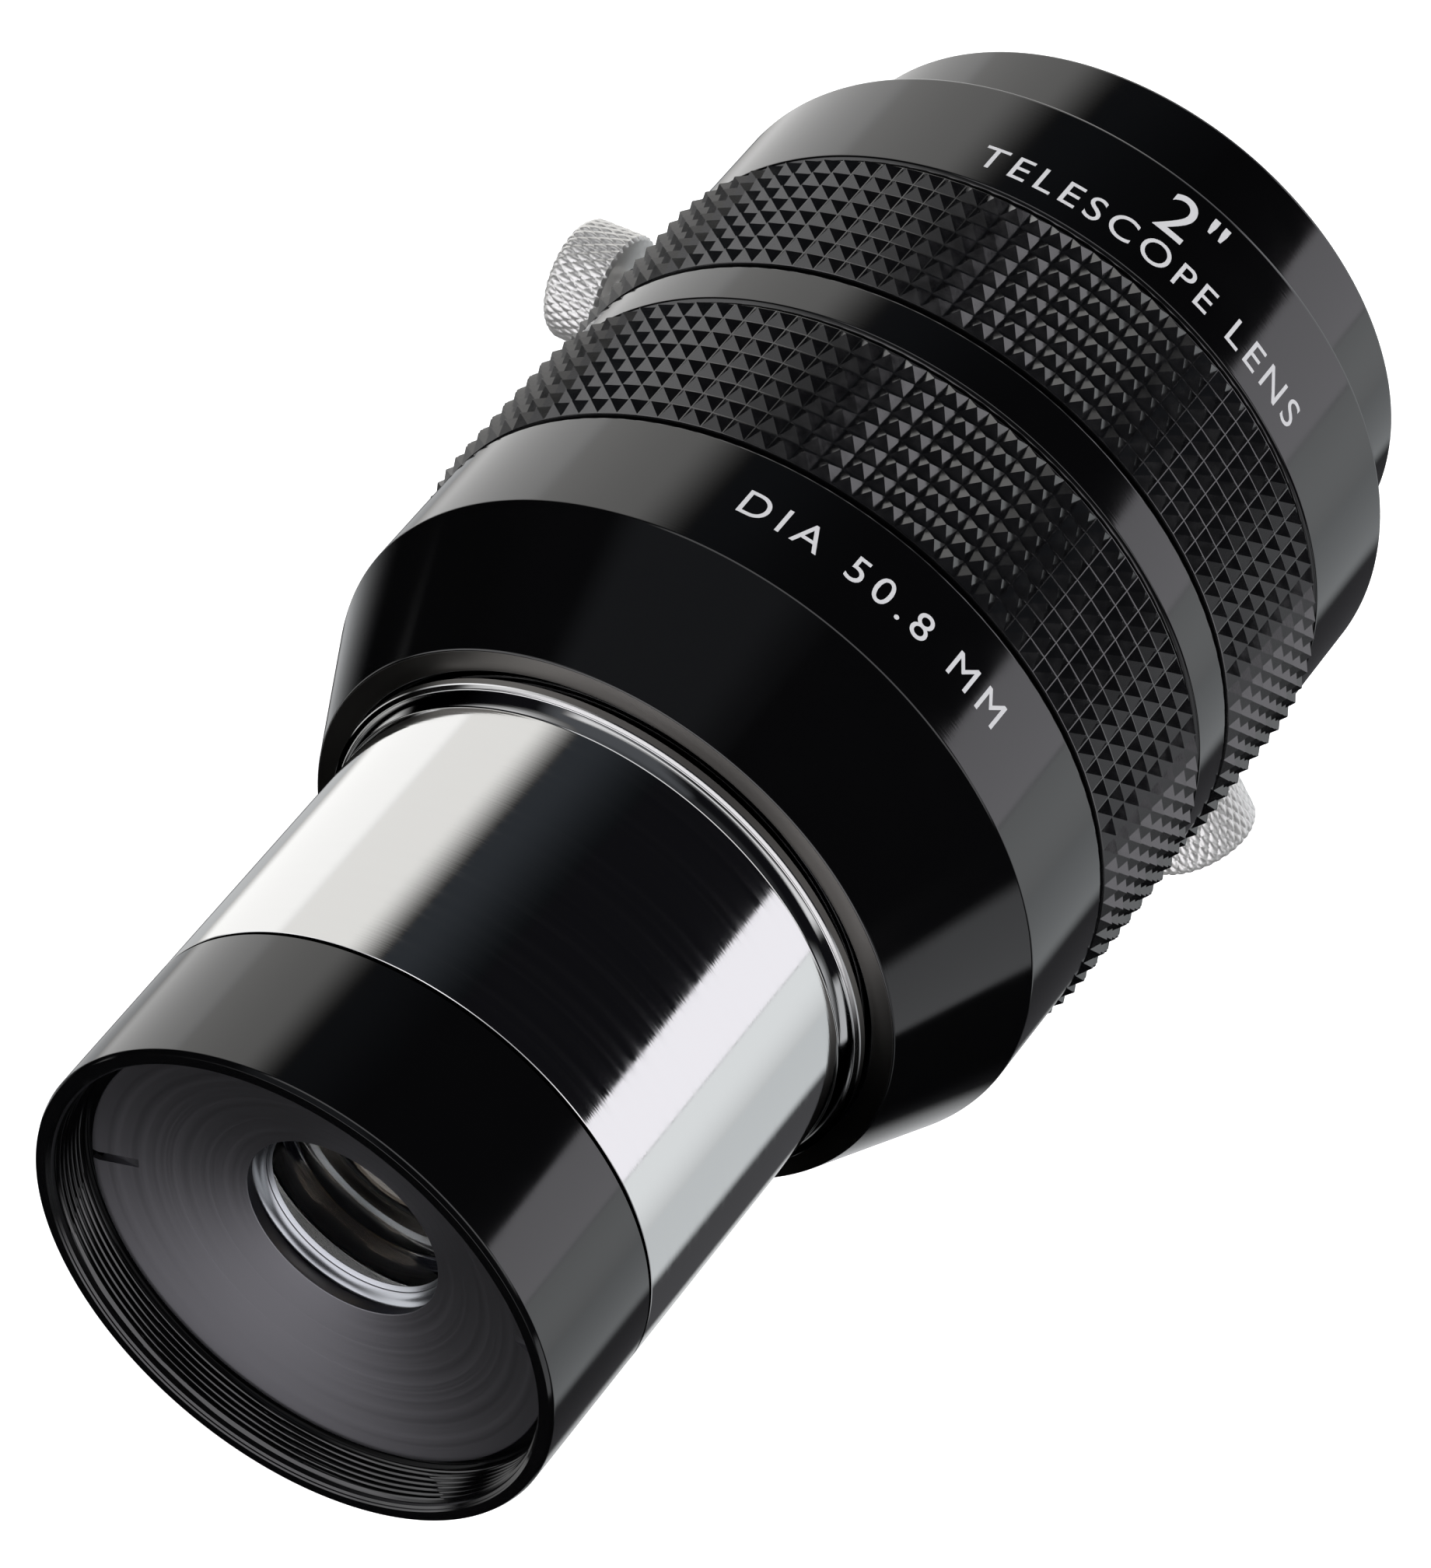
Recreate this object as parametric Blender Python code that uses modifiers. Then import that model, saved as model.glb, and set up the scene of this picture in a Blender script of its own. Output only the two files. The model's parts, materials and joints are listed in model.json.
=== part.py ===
"""Three-times telecentric barlow lens for two-inch focusers and eyepieces.

The barrel lies on its two grip rings with the optical axis along Y: the nose points to -Y, the
eyepiece socket opens towards +Y and the engraved side is up. The origin is on the ground under the
middle of the barrel. Every turned piece is drawn as an outline of (radius, station) pairs, where a
station is the distance from the nose rim along the optical axis.
"""

import math

import bpy

MM = 0.001
COLLECTION = "barlow_lens"
CUTTERS = "cutters"

# Driving dimensions, in millimetres.
NOSE_RADIUS = 25.4
BODY_RADIUS = 35.25
GRIP_RADIUS = 36.05
FACE_RADIUS = 29.1
CAP_RADIUS = 30.05
SOCKET_RADIUS = 25.5
FILTER_THREAD_RADIUS = 23.8
APERTURE_RADIUS = 9.4

# Stations along the optical axis.
NOSE_SEAM = 15.4
TUBE_FLARE = 46.0
FLANGE_FRONT = 47.6
FLANGE_REAR = 48.4
FRONT_FACE = 49.1
SHOULDER_END = 62.1
FRONT_GRIP = 74.7
MIDDLE_BAND = 91.6
REAR_GRIP = 97.3
COLLAR = 113.5
CAP_STEP = 126.5
LENGTH = 138.7

# Fits between pieces.
GAP = 0.3
EDGE = 0.35
GRIP_SEAT_RADIUS = 33.2
SPIGOT_RADIUS = 30.0

# Nose ring and the tube behind it.
TUBE_WALL = 1.4
NOSE_SPIGOT_RADIUS = NOSE_RADIUS - TUBE_WALL
NOSE_SPIGOT_END = NOSE_SEAM + 6.6
RIM_BEVEL_WIDTH = 0.25
RIM_BEVEL_LENGTH = 0.55
MOUTH_BEVEL = 0.4
MOUTH_STEP = 0.6
FLANGE_RADIUS = NOSE_RADIUS + 1.3
FLARE_BULGE = 0.45
TUBE_BEVEL = 0.15
TUBE_SPIGOT_RADIUS = NOSE_RADIUS + 0.4
TUBE_BORE_END = 58.0
TUBE_END = TUBE_BORE_END - 0.5
COUNTERBORE_STEP = 1.2
BORE_TAPER = 6.0
GLARE_RING_RADIUS = 22.9
GLARE_RING_HOLE = 15.0
GLARE_RING_FRONT = 33.0
GLARE_RING_LENGTH = 2.0

# Front lens group, in the nose.
BAFFLE_EDGE = 4.4
BAFFLE_EDGE_RADIUS = 21.9
BAFFLE_APERTURE = 8.0
BAFFLE_BACK = 9.4
SPANNER_SLOT = (1.0, 6.8, 1.6)
SPANNER_SLOT_MIDDLE = BAFFLE_EDGE + 0.2
FRONT_LENS_RADIUS = 12.5
FRONT_CELL_BORE = FRONT_LENS_RADIUS + GAP
FRONT_CELL_LIP = 9.6
FRONT_CELL_REAR = 22.0
FRONT_LIP_STATION = 19.4
FRONT_RETAINER_HOLE = 10.1
FRONT_RETAINER_REAR = 11.0

# Rear lens group, in the middle barrel.
REAR_LENS_RADIUS = 20.4
REAR_CELL_FRONT = 81.8
REAR_CELL_REAR = 95.7
REAR_CELL_RADIUS = 23.2
REAR_CELL_LIP = 18.5
REAR_CELL_LIP_LENGTH = 1.0
REAR_RETAINER_FRONT = 93.5
MIDDLE_FRONT = 80.0
MIDDLE_LIP_RADIUS = REAR_CELL_LIP + 2.0

# Lenses: edge radius, then the station of the edge and how much further back the middle is, for
# the front surface and for the rear surface.
LENSES = {
    "front_crown_lens": (FRONT_LENS_RADIUS, 11.3, 1.3, 16.8, -2.0),
    "front_flint_lens": (FRONT_LENS_RADIUS, 17.1, -2.0, 19.1, -1.0),
    "rear_crown_lens": (REAR_LENS_RADIUS, 86.1, -3.0, 87.6, 2.2),
    "rear_flint_lens": (REAR_LENS_RADIUS, 87.9, 2.2, 92.4, 0.8),
}

# Eyepiece socket.
SOCKET_FLOOR = 98.1
STOP_RING_HOLE = 21.5
STOP_RING_LENGTH = 2.0
COLLAR_FRONT = SOCKET_FLOOR + STOP_RING_LENGTH + GAP
CAP_BORE_RADIUS = CAP_RADIUS - 1.35
CAP_SPIGOT_RADIUS = CAP_BORE_RADIUS - GAP
MOUTH_FLARE = 1.0

# Eyepiece clamp.
RING_GROOVE_FRONT = 114.2
RING_GROOVE_REAR = 123.0
RING_GROOVE_RADIUS = 27.6
RING_OUTER = RING_GROOVE_RADIUS - 0.4
RING_INNER = SOCKET_RADIUS + 0.05
RING_SPLIT = 3.0
RING_SPLIT_DEPTH = 6.0

# Thumbscrews: each stands on the eyepiece collar, this far round from straight up.
SCREW_STATION = 118.6
SCREW_ANGLE = math.radians(120.0)
STUD_RADIUS = 2.5
STUD_HOLE_RADIUS = STUD_RADIUS + 0.35
STUD_TIP = 28.0
STUD_TIP_BEVEL = 0.5
STUD_HOLE_START = 24.0
STUD_HOLE_END = 38.0
HEAD_UNDERSIDE = 40.0
HEAD_TOP = 45.9
HEAD_RADIUS = 5.95
HEAD_ROUND = 1.2
HEAD_ROUND_STEPS = 3
HEAD_SOCKET_END = HEAD_UNDERSIDE + 3.2

# Facets round each turned piece. The barrel stands on a flat facet, so its axis is a little lower
# than the grip radius.
OUTER_STEPS = 64
INNER_STEPS = 40
SCREW_STEPS = 32
STUD_STEPS = 16
ARC_STEPS = 4
AXIS_HEIGHT = GRIP_RADIUS * math.cos(math.pi / OUTER_STEPS)

# Materials: colour, roughness, metallic.
MATERIALS = {
    "black_anodised": ((0.012, 0.012, 0.014), 0.22, 0.9),
    "matt_black": ((0.02, 0.02, 0.021), 0.6, 0.4),
    "chrome": ((0.8, 0.8, 0.8), 0.08, 1.0),
    "stainless": ((0.62, 0.6, 0.58), 0.28, 1.0),
    "brass": ((0.72, 0.55, 0.24), 0.3, 1.0),
    "rubber": ((0.02, 0.02, 0.022), 0.45, 0.0),
    "glass": ((0.8, 0.85, 0.95), 0.02, 0.0),
}


def clear_scene():
    for thing in list(bpy.data.objects):
        bpy.data.objects.remove(thing)


def make_collection(name):
    collection = bpy.data.collections.new(name)
    bpy.context.scene.collection.children.link(collection)
    return collection


def make_materials():
    made = {}
    for name, (colour, roughness, metallic) in MATERIALS.items():
        material = bpy.data.materials.new(name)
        material.use_nodes = True
        shader = material.node_tree.nodes["Principled BSDF"]
        shader.inputs["Base Color"].default_value = (*colour, 1.0)
        shader.inputs["Roughness"].default_value = roughness
        shader.inputs["Metallic"].default_value = metallic
        made[name] = material
    return made


def make_empty(name, location, rotation, collection):
    empty = bpy.data.objects.new(name, None)
    empty.location = location
    empty.rotation_euler = rotation
    collection.objects.link(empty)
    return empty


def arc(start, end, sag):
    """Points from start to end, in (radius, station), on a shallow arc that bulges by sag in station."""
    points = []
    for step in range(ARC_STEPS + 1):
        part = step / ARC_STEPS
        radius = start[0] + (end[0] - start[0]) * part
        chord = start[1] + (end[1] - start[1]) * part
        points.append((radius, chord + sag * math.sin(math.pi / 2 * (1.0 - (2 * part - 1) ** 2))))
    return points


def dome(edge_radius, edge_station, sag):
    """Half a lens surface: from its edge to the optical axis, with the centre sag beyond the edge."""
    points = []
    for step in range(ARC_STEPS + 1):
        radius = edge_radius * (1.0 - step / ARC_STEPS)
        points.append((radius, edge_station + sag * (1.0 - (radius / edge_radius) ** 2)))
    return points


def turned(name, outline, steps, material, parent, collection, closed=True):
    """A solid turned round its parent's Z axis from an outline that starts down its outer side."""
    vertices = [(radius * MM, 0.0, station * MM) for radius, station in outline]
    edges = [(index, index + 1) for index in range(len(vertices) - 1)]
    if closed:
        edges.append((len(vertices) - 1, 0))
    mesh = bpy.data.meshes.new(name)
    mesh.from_pydata(vertices, edges, [])
    piece = bpy.data.objects.new(name, mesh)
    piece.parent = parent
    piece.rotation_euler = (0.0, 0.0, math.pi / steps)
    collection.objects.link(piece)
    screw = piece.modifiers.new("turn", "SCREW")
    screw.axis = "Z"
    screw.angle = 2.0 * math.pi
    screw.steps = steps
    screw.render_steps = steps
    screw.use_merge_vertices = True
    screw.merge_threshold = 0.00001
    screw.use_smooth_shade = True
    mesh.materials.append(material)
    return piece


def box_cutter(name, size, location, parent, collection):
    bpy.ops.mesh.primitive_cube_add(size=1.0)
    cutter = bpy.context.active_object
    cutter.name = name
    cutter.scale = [side * MM for side in size]
    bpy.ops.object.transform_apply(location=False, rotation=False, scale=True)
    cutter.parent = parent
    cutter.location = [place * MM for place in location]
    move_to(cutter, collection)
    return cutter


def rod_cutter(name, radius, start, end, parent, collection):
    bpy.ops.mesh.primitive_cylinder_add(
        vertices=STUD_STEPS,
        radius=radius * MM,
        depth=(end - start) * MM,
    )
    cutter = bpy.context.active_object
    cutter.name = name
    cutter.parent = parent
    cutter.location = (0.0, 0.0, 0.5 * (start + end) * MM)
    move_to(cutter, collection)
    return cutter


def move_to(cutter, collection):
    for holder in list(cutter.users_collection):
        holder.objects.unlink(cutter)
    collection.objects.link(cutter)
    cutter.display_type = "WIRE"
    cutter.hide_render = True


def cut(piece, cutter):
    boolean = piece.modifiers.new(cutter.name, "BOOLEAN")
    boolean.operation = "DIFFERENCE"
    boolean.solver = "EXACT"
    boolean.object = cutter


def washer(outer, inner, front, rear):
    """Outline of a plain ring."""
    return [(outer, rear), (outer, front), (inner, front), (inner, rear)]


def nose_ring_outline():
    mouth_floor = BAFFLE_EDGE + MOUTH_STEP
    cell_bore = BAFFLE_EDGE_RADIUS + GAP
    return [
        (NOSE_SPIGOT_RADIUS, NOSE_SPIGOT_END),
        (NOSE_SPIGOT_RADIUS, NOSE_SEAM),
        (NOSE_RADIUS, NOSE_SEAM),
        (NOSE_RADIUS, RIM_BEVEL_LENGTH),
        (NOSE_RADIUS - RIM_BEVEL_WIDTH, 0.0),
        (FILTER_THREAD_RADIUS + MOUTH_BEVEL, 0.0),
        (FILTER_THREAD_RADIUS, MOUTH_BEVEL),
        (FILTER_THREAD_RADIUS, mouth_floor),
        (cell_bore, mouth_floor),
        (cell_bore, NOSE_SPIGOT_END),
    ]


def front_baffle_outline():
    return [
        (BAFFLE_EDGE_RADIUS, BAFFLE_BACK),
        (BAFFLE_EDGE_RADIUS, BAFFLE_EDGE),
        (APERTURE_RADIUS, BAFFLE_APERTURE),
        (APERTURE_RADIUS, BAFFLE_BACK),
    ]


def front_cell_outline():
    outer = BAFFLE_EDGE_RADIUS
    return [
        (outer, FRONT_CELL_REAR),
        (outer, BAFFLE_BACK + GAP),
        (FRONT_CELL_BORE, BAFFLE_BACK + GAP),
        (FRONT_CELL_BORE, FRONT_LIP_STATION),
        (FRONT_CELL_LIP, FRONT_LIP_STATION),
        (FRONT_CELL_LIP, FRONT_CELL_REAR),
    ]


def lens_outline(radius, front_edge, front_sag, rear_edge, rear_sag):
    """A lens from the middle of its rear surface out to its edge and in to its front middle."""
    return dome(radius, rear_edge, rear_sag)[::-1] + dome(radius, front_edge, front_sag)


def nosepiece_tube_outline():
    front_bore = NOSE_SPIGOT_RADIUS + GAP
    bore = NOSE_SPIGOT_RADIUS
    front = NOSE_SEAM + GAP
    step = NOSE_SPIGOT_END + GAP
    flare = arc((FLANGE_RADIUS, FLANGE_FRONT), (NOSE_RADIUS, TUBE_FLARE), FLARE_BULGE)
    return [
        (TUBE_SPIGOT_RADIUS, TUBE_END),
        (TUBE_SPIGOT_RADIUS, FLANGE_REAR),
        (FLANGE_RADIUS, FLANGE_REAR),
        *flare,
        (NOSE_RADIUS, front + TUBE_BEVEL),
        (NOSE_RADIUS - TUBE_BEVEL, front),
        (front_bore, front),
        (front_bore, step),
        (bore, step),
        (bore, TUBE_END),
    ]


def front_barrel_outline():
    bore = TUBE_SPIGOT_RADIUS + GAP
    counterbore = bore + COUNTERBORE_STEP
    counterbore_floor = FRONT_FACE + COUNTERBORE_STEP
    wide_bore = SPIGOT_RADIUS + GAP
    seat_front = FRONT_GRIP - GAP
    rear = MIDDLE_BAND - GAP
    return [
        (GRIP_SEAT_RADIUS, rear),
        (GRIP_SEAT_RADIUS, seat_front),
        (BODY_RADIUS - EDGE, seat_front),
        (BODY_RADIUS, seat_front - EDGE),
        (BODY_RADIUS, SHOULDER_END),
        (FACE_RADIUS, FRONT_FACE),
        (counterbore, FRONT_FACE),
        (counterbore, counterbore_floor),
        (bore, counterbore_floor),
        (bore, TUBE_BORE_END),
        (wide_bore, TUBE_BORE_END + BORE_TAPER),
        (wide_bore, rear),
    ]


def grip_outline(front, rear):
    inner = GRIP_SEAT_RADIUS + GAP
    return [
        (GRIP_RADIUS, rear - EDGE),
        (GRIP_RADIUS, front + EDGE),
        (GRIP_RADIUS - EDGE, front),
        (inner, front),
        (inner, rear),
        (GRIP_RADIUS - EDGE, rear),
    ]


def middle_barrel_outline():
    cell_bore = REAR_CELL_RADIUS + GAP
    wide_bore = SPIGOT_RADIUS + GAP
    cell_seat = REAR_CELL_FRONT - GAP
    cell_room = SOCKET_FLOOR - GAP
    band_rear = REAR_GRIP - GAP
    rear = COLLAR - GAP
    return [
        (GRIP_SEAT_RADIUS, rear),
        (GRIP_SEAT_RADIUS, band_rear),
        (BODY_RADIUS - EDGE, band_rear),
        (BODY_RADIUS, band_rear - EDGE),
        (BODY_RADIUS, MIDDLE_BAND + EDGE),
        (BODY_RADIUS - EDGE, MIDDLE_BAND),
        (SPIGOT_RADIUS, MIDDLE_BAND),
        (SPIGOT_RADIUS, MIDDLE_FRONT),
        (MIDDLE_LIP_RADIUS, MIDDLE_FRONT),
        (MIDDLE_LIP_RADIUS, cell_seat),
        (cell_bore, cell_seat),
        (cell_bore, cell_room),
        (wide_bore, cell_room),
        (wide_bore, rear),
    ]


def rear_cell_outline():
    bore = REAR_LENS_RADIUS + GAP
    lip_rear = REAR_CELL_FRONT + REAR_CELL_LIP_LENGTH
    return [
        (REAR_CELL_RADIUS, REAR_CELL_REAR),
        (REAR_CELL_RADIUS, REAR_CELL_FRONT),
        (REAR_CELL_LIP, REAR_CELL_FRONT),
        (REAR_CELL_LIP, lip_rear),
        (bore, lip_rear),
        (bore, REAR_CELL_REAR),
    ]


def eyepiece_collar_outline():
    return [
        (BODY_RADIUS - EDGE, CAP_STEP),
        (BODY_RADIUS, CAP_STEP - EDGE),
        (BODY_RADIUS, COLLAR + EDGE),
        (BODY_RADIUS - EDGE, COLLAR),
        (SPIGOT_RADIUS, COLLAR),
        (SPIGOT_RADIUS, COLLAR_FRONT),
        (SOCKET_RADIUS, COLLAR_FRONT),
        (SOCKET_RADIUS, RING_GROOVE_FRONT),
        (RING_GROOVE_RADIUS, RING_GROOVE_FRONT),
        (RING_GROOVE_RADIUS, RING_GROOVE_REAR),
        (CAP_BORE_RADIUS, RING_GROOVE_REAR),
        (CAP_BORE_RADIUS, CAP_STEP),
    ]


def rear_cap_outline():
    front = CAP_STEP + GAP
    spigot_front = RING_GROOVE_REAR + GAP
    return [
        (CAP_RADIUS - EDGE, LENGTH),
        (CAP_RADIUS, LENGTH - EDGE),
        (CAP_RADIUS, front),
        (CAP_SPIGOT_RADIUS, front),
        (CAP_SPIGOT_RADIUS, spigot_front),
        (SOCKET_RADIUS, spigot_front),
        (SOCKET_RADIUS, LENGTH - MOUTH_FLARE),
        (SOCKET_RADIUS + MOUTH_FLARE, LENGTH),
    ]


def head_outline():
    """Knurled thumbscrew head with a rounded outer edge and a socket for its stud."""
    socket = STUD_RADIUS + GAP
    rounded = []
    for step in range(HEAD_ROUND_STEPS + 1):
        turn = 0.5 * math.pi * (1.0 - step / HEAD_ROUND_STEPS)
        rounded.append(
            (
                HEAD_RADIUS - HEAD_ROUND * (1.0 - math.cos(turn)),
                HEAD_TOP - HEAD_ROUND * (1.0 - math.sin(turn)),
            )
        )
    return [
        (0.0, HEAD_TOP),
        *rounded,
        (HEAD_RADIUS, HEAD_UNDERSIDE + EDGE),
        (HEAD_RADIUS - EDGE, HEAD_UNDERSIDE),
        (socket, HEAD_UNDERSIDE),
        (socket, HEAD_SOCKET_END),
        (0.0, HEAD_SOCKET_END),
    ]


def stud_outline():
    end = HEAD_SOCKET_END - GAP
    return [
        (0.0, end),
        (STUD_RADIUS, end),
        (STUD_RADIUS, STUD_TIP + STUD_TIP_BEVEL),
        (STUD_RADIUS - STUD_TIP_BEVEL, STUD_TIP),
        (0.0, STUD_TIP),
    ]


def add_nose(axis, parts, cutters, paint):
    turned("nose_ring", nose_ring_outline(), OUTER_STEPS, paint["black_anodised"], axis, parts)
    baffle = turned("front_baffle", front_baffle_outline(), INNER_STEPS, paint["matt_black"], axis, parts)
    for side in (-1, 1):
        slot = box_cutter(
            f"spanner_slot_{side}",
            SPANNER_SLOT,
            (0.0, side * BAFFLE_EDGE_RADIUS, SPANNER_SLOT_MIDDLE),
            slot_turn(axis, cutters, side),
            cutters,
        )
        cut(baffle, slot)
    tube = nosepiece_tube_outline()
    turned("nosepiece_tube", tube, OUTER_STEPS, paint["chrome"], axis, parts)
    glare_rear = GLARE_RING_FRONT + GLARE_RING_LENGTH
    glare = washer(GLARE_RING_RADIUS, GLARE_RING_HOLE, GLARE_RING_FRONT, glare_rear)
    turned("nose_glare_ring", glare, INNER_STEPS, paint["matt_black"], axis, parts)


def slot_turn(axis, cutters, side):
    """Empty that turns a spanner slot to its place on the front baffle, level with the thumbscrews."""
    empty = make_empty(f"slot_turn_{side}", (0.0, 0.0, 0.0), (0.0, 0.0, math.pi - SCREW_ANGLE), cutters)
    empty.parent = axis
    return empty


def add_front_lenses(axis, parts, paint):
    turned("front_lens_cell", front_cell_outline(), INNER_STEPS, paint["matt_black"], axis, parts)
    front = BAFFLE_BACK + GAP
    retainer = washer(FRONT_LENS_RADIUS, FRONT_RETAINER_HOLE, front, FRONT_RETAINER_REAR)
    turned("front_lens_retainer", retainer, INNER_STEPS, paint["matt_black"], axis, parts)
    add_lens("front_crown_lens", axis, parts, paint)
    add_lens("front_flint_lens", axis, parts, paint)


def add_lens(name, axis, parts, paint):
    turned(name, lens_outline(*LENSES[name]), INNER_STEPS, paint["glass"], axis, parts, closed=False)


def add_rear_lenses(axis, parts, paint):
    turned("rear_lens_cell", rear_cell_outline(), INNER_STEPS, paint["matt_black"], axis, parts)
    add_lens("rear_crown_lens", axis, parts, paint)
    add_lens("rear_flint_lens", axis, parts, paint)
    rear = REAR_CELL_REAR - GAP
    retainer = washer(REAR_LENS_RADIUS, REAR_CELL_LIP, REAR_RETAINER_FRONT, rear)
    turned("rear_lens_retainer", retainer, INNER_STEPS, paint["matt_black"], axis, parts)


def add_body(axis, parts, paint):
    black = paint["black_anodised"]
    turned("front_barrel", front_barrel_outline(), OUTER_STEPS, black, axis, parts)
    front_grip = grip_outline(FRONT_GRIP, MIDDLE_BAND - GAP)
    turned("front_grip_ring", front_grip, OUTER_STEPS, paint["rubber"], axis, parts)
    turned("middle_barrel", middle_barrel_outline(), OUTER_STEPS, black, axis, parts)
    rear_grip = grip_outline(REAR_GRIP, COLLAR - GAP)
    turned("rear_grip_ring", rear_grip, OUTER_STEPS, paint["rubber"], axis, parts)
    stop = washer(SPIGOT_RADIUS, STOP_RING_HOLE, SOCKET_FLOOR, SOCKET_FLOOR + STOP_RING_LENGTH)
    turned("socket_stop_ring", stop, INNER_STEPS, paint["matt_black"], axis, parts)


def add_clamp(axis, parts, cutters, paint):
    black = paint["black_anodised"]
    collar = turned("eyepiece_collar", eyepiece_collar_outline(), OUTER_STEPS, black, axis, parts)
    turned("rear_cap_ring", rear_cap_outline(), OUTER_STEPS, black, axis, parts)
    outline = washer(RING_OUTER, RING_INNER, RING_GROOVE_FRONT + GAP, RING_GROOVE_REAR - GAP)
    ring = turned("compression_ring", outline, OUTER_STEPS, paint["brass"], axis, parts)
    cut(ring, split_cutter(axis, cutters))
    for side, turn in (("left", -SCREW_ANGLE), ("right", SCREW_ANGLE)):
        place = (0.0, (SCREW_STATION - 0.5 * LENGTH) * MM, AXIS_HEIGHT * MM)
        screw_axis = make_empty(f"thumbscrew_{side}_axis", place, (0.0, turn, 0.0), parts)
        hole_name = f"thumbscrew_{side}_hole"
        ends = (STUD_HOLE_START, STUD_HOLE_END)
        hole = rod_cutter(hole_name, STUD_HOLE_RADIUS, *ends, screw_axis, cutters)
        cut(collar, hole)
        add_thumbscrew(side, screw_axis, parts, paint["stainless"])


def split_cutter(axis, cutters):
    """Box that opens the compression ring on its upper side."""
    middle = 0.5 * (RING_INNER + RING_OUTER)
    height = 2.0 * (RING_GROOVE_REAR - RING_GROOVE_FRONT)
    size = (RING_SPLIT, RING_SPLIT_DEPTH, height)
    return box_cutter("ring_split", size, (0.0, -middle, SCREW_STATION), axis, cutters)


def add_thumbscrew(side, screw_axis, parts, steel):
    turned(f"thumbscrew_{side}_stud", stud_outline(), STUD_STEPS, steel, screw_axis, parts, closed=False)
    turned(f"thumbscrew_{side}_head", head_outline(), SCREW_STEPS, steel, screw_axis, parts, closed=False)


def build():
    clear_scene()
    parts = make_collection(COLLECTION)
    cutters = make_collection(CUTTERS)
    paint = make_materials()
    nose_rim = (0.0, -0.5 * LENGTH * MM, AXIS_HEIGHT * MM)
    axis = make_empty("optical_axis", nose_rim, (-0.5 * math.pi, 0.0, 0.0), parts)
    add_nose(axis, parts, cutters, paint)
    add_front_lenses(axis, parts, paint)
    add_body(axis, parts, paint)
    add_rear_lenses(axis, parts, paint)
    add_clamp(axis, parts, cutters, paint)


build()
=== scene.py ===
"""Looks of the barlow lens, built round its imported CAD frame.

Every turned piece is drawn again, finer than its CAD node, as an outline of (radius, station) pairs
in millimetres. A station is the distance from the nose rim along the optical axis, or, on a
thumbscrew, the distance from the optical axis along the screw. The outlines start from the node's
own outline, so each piece stays in the place that the frame gives it.
"""

import json
import math
from collections import namedtuple

import bmesh
import bpy
import numpy as np
from mathutils import Matrix, Vector


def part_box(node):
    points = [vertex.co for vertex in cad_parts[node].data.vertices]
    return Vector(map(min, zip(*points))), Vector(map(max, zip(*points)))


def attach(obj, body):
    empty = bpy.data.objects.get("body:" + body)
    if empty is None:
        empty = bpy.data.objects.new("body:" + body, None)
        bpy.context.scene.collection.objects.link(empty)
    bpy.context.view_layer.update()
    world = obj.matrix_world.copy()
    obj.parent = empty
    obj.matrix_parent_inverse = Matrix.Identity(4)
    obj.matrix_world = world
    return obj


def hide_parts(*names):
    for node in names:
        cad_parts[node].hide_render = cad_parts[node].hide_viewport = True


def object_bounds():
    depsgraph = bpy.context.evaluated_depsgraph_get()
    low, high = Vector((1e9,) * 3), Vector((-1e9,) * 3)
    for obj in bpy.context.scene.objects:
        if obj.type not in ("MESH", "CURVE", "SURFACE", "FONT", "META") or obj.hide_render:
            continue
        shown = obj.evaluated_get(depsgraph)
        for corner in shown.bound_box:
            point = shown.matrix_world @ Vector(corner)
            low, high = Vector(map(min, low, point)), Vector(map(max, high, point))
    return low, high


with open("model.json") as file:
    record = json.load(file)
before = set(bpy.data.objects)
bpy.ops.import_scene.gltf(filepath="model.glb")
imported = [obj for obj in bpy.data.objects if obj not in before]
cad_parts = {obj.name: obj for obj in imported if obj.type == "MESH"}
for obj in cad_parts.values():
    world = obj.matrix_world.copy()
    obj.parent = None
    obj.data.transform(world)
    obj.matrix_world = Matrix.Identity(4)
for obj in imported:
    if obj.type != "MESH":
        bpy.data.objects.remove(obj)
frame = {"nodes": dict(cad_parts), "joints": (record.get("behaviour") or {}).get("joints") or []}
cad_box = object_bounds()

MM = 0.001

# Fineness of the turned pieces.
BARREL_STEPS = 240
LENS_STEPS = 128
STUD_STEPS = 72
HOLE_STEPS = 48
FILLET_STEPS = 3
ARC_STEPS = 8
LENS_RINGS = 16
SHARP_ANGLE = math.radians(34.0)
NORMAL_WEIGHT = 80

# How far apart two points of a CAD mesh may lie and still be one, or lie off a straight side.
SAME = 0.01
SAME_CORNER = 0.03
STRAIGHT = 0.003
MERGE = 0.0005
TINY = 0.0001
LEAST = 0.000001
OFF_AXIS = 1.0

# Rounded edges.
FINE_EDGE = 0.12
BARREL_EDGE = 0.16
COLLAR_EDGE = 0.22
RING_EDGE = 0.2

# Threads. A crest and a root are each flat over a share of the pitch.
FILTER_PITCH = 0.6
STUD_PITCH = 0.8
THREAD_DEPTH_SHARE = 0.54
THREAD_FLAT = 0.15
ROWS_PER_PITCH = 10

# Nose ring: its rim, its outer edge as (inwards, station), and the steps before its thread.
RIM_WIDTH = 1.2
RIM_ROUND = ((0.0, 0.6), (0.05, 0.4), (0.22, 0.03), (0.3, 0.0))
RIM_STEPS = ((0.0, 0.0), (0.12, 0.1), (0.12, 0.25), (0.3, 0.4), (0.3, 0.55))
CREST_STEP = 0.6
THREAD_START = 0.85
THREAD_RUNOUT = 0.35

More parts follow.
